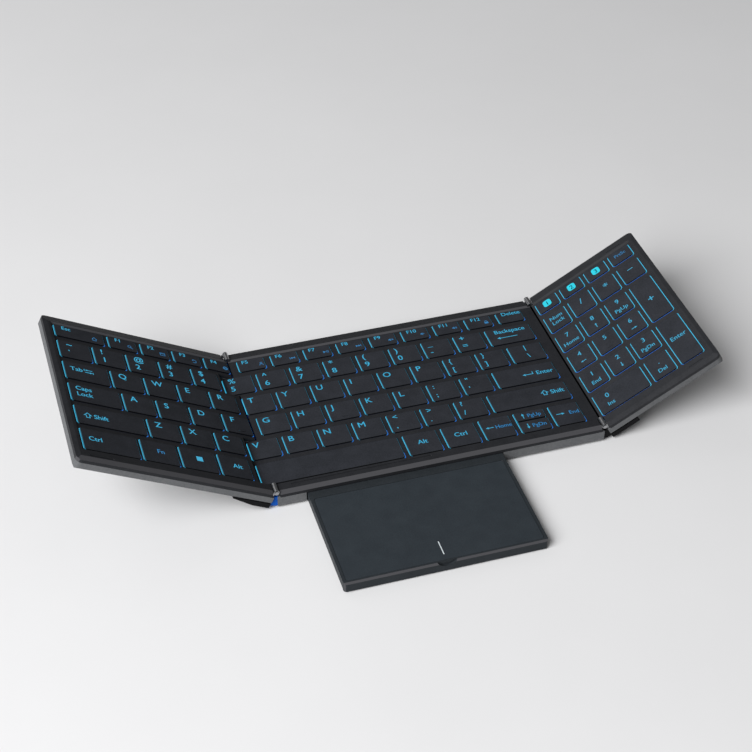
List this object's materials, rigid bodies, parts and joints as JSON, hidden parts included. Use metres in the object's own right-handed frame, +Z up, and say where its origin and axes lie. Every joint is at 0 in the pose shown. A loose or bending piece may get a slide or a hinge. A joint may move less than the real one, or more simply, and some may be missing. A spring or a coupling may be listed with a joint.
{
  "type": "folding keyboard",
  "caption": "Tri-fold backlit keyboard: two wings fold over a centre panel and a touchpad drawer slides out of it.",
  "frame": {"origin": "middle of the rear foot's resting face, under the centre panel", "axes": "+X to the right along the key rows, +Y away from the user, +Z up"},
  "size_m": [0.3397, 0.1851, 0.0584],
  "materials": {
    "grey_case": "satin moulded",
    "black_frame": "fine grain",
    "key_plastic": "fine grain, backlit legends",
    "sheet_steel": "rolled",
    "membrane_film": "film",
    "dome_silicone": "translucent",
    "light_guide": "clear",
    "circuit_board": "solder mask",
    "battery_foil": "foil pouch",
    "black_rubber": "matte",
    "blue_guard": "matte",
    "hinge_steel": "polished",
    "switch_plastic": "moulded",
    "touch_surface": "smooth"
  },
  "bodies": {
    "centre_panel": {"centre_lower_shell": "grey_case", "centre_top_frame": "black_frame", "centre_support_plate": "sheet_steel", "centre_membrane": "membrane_film", "centre_dome_sheet": "dome_silicone", "centre_light_guide": "light_guide", "main_board": "circuit_board", "battery": "battery_foil", "charge_port": "sheet_steel", "touchpad_rails": "sheet_steel", "centre_feet": "black_rubber", "case_screws": "sheet_steel", "centre_fold_leaves": "hinge_steel", "fold_pins": "hinge_steel", "left_spine_guard": "blue_guard", "right_spine_guard": "black_rubber"},
    "left_wing": {"left_lower_shell": "grey_case", "left_top_frame": "black_frame", "left_support_plate": "sheet_steel", "left_membrane": "membrane_film", "left_dome_sheet": "dome_silicone", "left_light_guide": "light_guide", "left_hinge_cover": "black_rubber", "left_fold_leaves": "hinge_steel", "left_feet": "black_rubber"},
    "right_wing": {"right_lower_shell": "grey_case", "right_top_frame": "black_frame", "right_support_plate": "sheet_steel", "right_membrane": "membrane_film", "right_dome_sheet": "dome_silicone", "right_light_guide": "light_guide", "right_hinge_cover": "black_rubber", "right_fold_leaves": "hinge_steel", "right_feet": "black_rubber"},
    "touchpad_drawer": {"touchpad_tray": "black_frame", "touchpad_lid": "black_frame", "touchpad_switch": "switch_plastic"},
    "touch_plate": {"touchpad_surface": "touch_surface", "touchpad_board": "circuit_board"},
    "space_bar": {"space_bar": "key_plastic"},
    "centre_keys_space_row": {"centre_keys_space_row": "key_plastic"},
    "centre_keys_lower_row": {"centre_keys_lower_row": "key_plastic"},
    "centre_keys_home_row": {"centre_keys_home_row": "key_plastic"},
    "centre_keys_upper_row": {"centre_keys_upper_row": "key_plastic"},
    "centre_keys_number_row": {"centre_keys_number_row": "key_plastic"},
    "centre_keys_function_row": {"centre_keys_function_row": "key_plastic"},
    "left_keys_space_row": {"left_keys_space_row": "key_plastic"},
    "left_keys_lower_row": {"left_keys_lower_row": "key_plastic"},
    "left_keys_home_row": {"left_keys_home_row": "key_plastic"},
    "left_keys_upper_row": {"left_keys_upper_row": "key_plastic"},
    "left_keys_number_row": {"left_keys_number_row": "key_plastic"},
    "left_keys_function_row": {"left_keys_function_row": "key_plastic"},
    "right_keys_zero_row": {"right_keys_zero_row": "key_plastic"},
    "right_keys_low_row": {"right_keys_low_row": "key_plastic"},
    "right_keys_middle_row": {"right_keys_middle_row": "key_plastic"},
    "right_keys_high_row": {"right_keys_high_row": "key_plastic"},
    "right_keys_lock_row": {"right_keys_lock_row": "key_plastic"},
    "right_keys_icon_row": {"right_keys_icon_row": "key_plastic"},
    "right_tall_keys": {"right_tall_keys": "key_plastic"}
  },
  "joints": [
    {"name": "left_fold", "type": "hinge", "parent": "centre_panel", "child": "left_wing", "pos_m": [-0.089, -0.05, 0.0098], "axis": [0, 1, 0], "range_deg": [-27.5, 152.5]},
    {"name": "right_fold", "type": "hinge", "parent": "centre_panel", "child": "right_wing", "pos_m": [0.089, -0.05, 0.0098], "axis": [0, -1, 0], "range_deg": [-30.5, 149.5]},
    {"name": "touchpad_slide", "type": "slide", "parent": "centre_panel", "child": "touchpad_drawer", "axis": [0, 1, 0], "range_m": [0, 0.0663]},
    {"name": "touchpad_click", "type": "slide", "parent": "touchpad_drawer", "child": "touch_plate", "axis": [0, 0, -1], "range_m": [0, 0.00025], "stiffness_N_per_m": 4000, "springref_m": -0.0002},
    {"name": "space_bar_press", "type": "slide", "parent": "centre_panel", "child": "space_bar", "axis": [0, 0, -1], "range_m": [0, 0.001], "stiffness_N_per_m": 500, "springref_m": -0.0005, "deforming": ["centre_dome_sheet"]},
    {"name": "centre_keys_space_row_press", "type": "slide", "parent": "centre_panel", "child": "centre_keys_space_row", "axis": [0, 0, -1], "range_m": [0, 0.001], "stiffness_N_per_m": 500, "springref_m": -0.0005, "deforming": ["centre_dome_sheet"]},
    {"name": "centre_keys_lower_row_press", "type": "slide", "parent": "centre_panel", "child": "centre_keys_lower_row", "axis": [0, 0, -1], "range_m": [0, 0.001], "stiffness_N_per_m": 500, "springref_m": -0.0005, "deforming": ["centre_dome_sheet"]},
    {"name": "centre_keys_home_row_press", "type": "slide", "parent": "centre_panel", "child": "centre_keys_home_row", "axis": [0, 0, -1], "range_m": [0, 0.001], "stiffness_N_per_m": 500, "springref_m": -0.0005, "deforming": ["centre_dome_sheet"]},
    {"name": "centre_keys_upper_row_press", "type": "slide", "parent": "centre_panel", "child": "centre_keys_upper_row", "axis": [0, 0, -1], "range_m": [0, 0.001], "stiffness_N_per_m": 500, "springref_m": -0.0005, "deforming": ["centre_dome_sheet"]},
    {"name": "centre_keys_number_row_press", "type": "slide", "parent": "centre_panel", "child": "centre_keys_number_row", "axis": [0, 0, -1], "range_m": [0, 0.001], "stiffness_N_per_m": 500, "springref_m": -0.0005, "deforming": ["centre_dome_sheet"]},
    {"name": "centre_keys_function_row_press", "type": "slide", "parent": "centre_panel", "child": "centre_keys_function_row", "axis": [0, 0, -1], "range_m": [0, 0.001], "stiffness_N_per_m": 500, "springref_m": -0.0005, "deforming": ["centre_dome_sheet"]},
    {"name": "left_keys_space_row_press", "type": "slide", "parent": "left_wing", "child": "left_keys_space_row", "axis": [-0.4617, 0, -0.887], "range_m": [0, 0.001], "stiffness_N_per_m": 500, "springref_m": -0.0005, "deforming": ["left_dome_sheet"]},
    {"name": "left_keys_lower_row_press", "type": "slide", "parent": "left_wing", "child": "left_keys_lower_row", "axis": [-0.4617, 0, -0.887], "range_m": [0, 0.001], "stiffness_N_per_m": 500, "springref_m": -0.0005, "deforming": ["left_dome_sheet"]},
    {"name": "left_keys_home_row_press", "type": "slide", "parent": "left_wing", "child": "left_keys_home_row", "axis": [-0.4617, 0, -0.887], "range_m": [0, 0.001], "stiffness_N_per_m": 500, "springref_m": -0.0005, "deforming": ["left_dome_sheet"]},
    {"name": "left_keys_upper_row_press", "type": "slide", "parent": "left_wing", "child": "left_keys_upper_row", "axis": [-0.4617, 0, -0.887], "range_m": [0, 0.001], "stiffness_N_per_m": 500, "springref_m": -0.0005, "deforming": ["left_dome_sheet"]},
    {"name": "left_keys_number_row_press", "type": "slide", "parent": "left_wing", "child": "left_keys_number_row", "axis": [-0.4617, 0, -0.887], "range_m": [0, 0.001], "stiffness_N_per_m": 500, "springref_m": -0.0005, "deforming": ["left_dome_sheet"]},
    {"name": "left_keys_function_row_press", "type": "slide", "parent": "left_wing", "child": "left_keys_function_row", "axis": [-0.4617, 0, -0.887], "range_m": [0, 0.001], "stiffness_N_per_m": 500, "springref_m": -0.0005, "deforming": ["left_dome_sheet"]},
    {"name": "right_keys_zero_row_press", "type": "slide", "parent": "right_wing", "child": "right_keys_zero_row", "axis": [0.5075, 0, -0.8616], "range_m": [0, 0.001], "stiffness_N_per_m": 500, "springref_m": -0.0005, "deforming": ["right_dome_sheet"]},
    {"name": "right_keys_low_row_press", "type": "slide", "parent": "right_wing", "child": "right_keys_low_row", "axis": [0.5075, 0, -0.8616], "range_m": [0, 0.001], "stiffness_N_per_m": 500, "springref_m": -0.0005, "deforming": ["right_dome_sheet"]},
    {"name": "right_keys_middle_row_press", "type": "slide", "parent": "right_wing", "child": "right_keys_middle_row", "axis": [0.5075, 0, -0.8616], "range_m": [0, 0.001], "stiffness_N_per_m": 500, "springref_m": -0.0005, "deforming": ["right_dome_sheet"]},
    {"name": "right_keys_high_row_press", "type": "slide", "parent": "right_wing", "child": "right_keys_high_row", "axis": [0.5075, 0, -0.8616], "range_m": [0, 0.001], "stiffness_N_per_m": 500, "springref_m": -0.0005, "deforming": ["right_dome_sheet"]},
    {"name": "right_keys_lock_row_press", "type": "slide", "parent": "right_wing", "child": "right_keys_lock_row", "axis": [0.5075, 0, -0.8616], "range_m": [0, 0.001], "stiffness_N_per_m": 500, "springref_m": -0.0005, "deforming": ["right_dome_sheet"]},
    {"name": "right_keys_icon_row_press", "type": "slide", "parent": "right_wing", "child": "right_keys_icon_row", "axis": [0.5075, 0, -0.8616], "range_m": [0, 0.001], "stiffness_N_per_m": 500, "springref_m": -0.0005, "deforming": ["right_dome_sheet"]},
    {"name": "right_tall_keys_press", "type": "slide", "parent": "right_wing", "child": "right_tall_keys", "axis": [0.5075, 0, -0.8616], "range_m": [0, 0.001], "stiffness_N_per_m": 500, "springref_m": -0.0005, "deforming": ["right_dome_sheet"]}
  ]
}
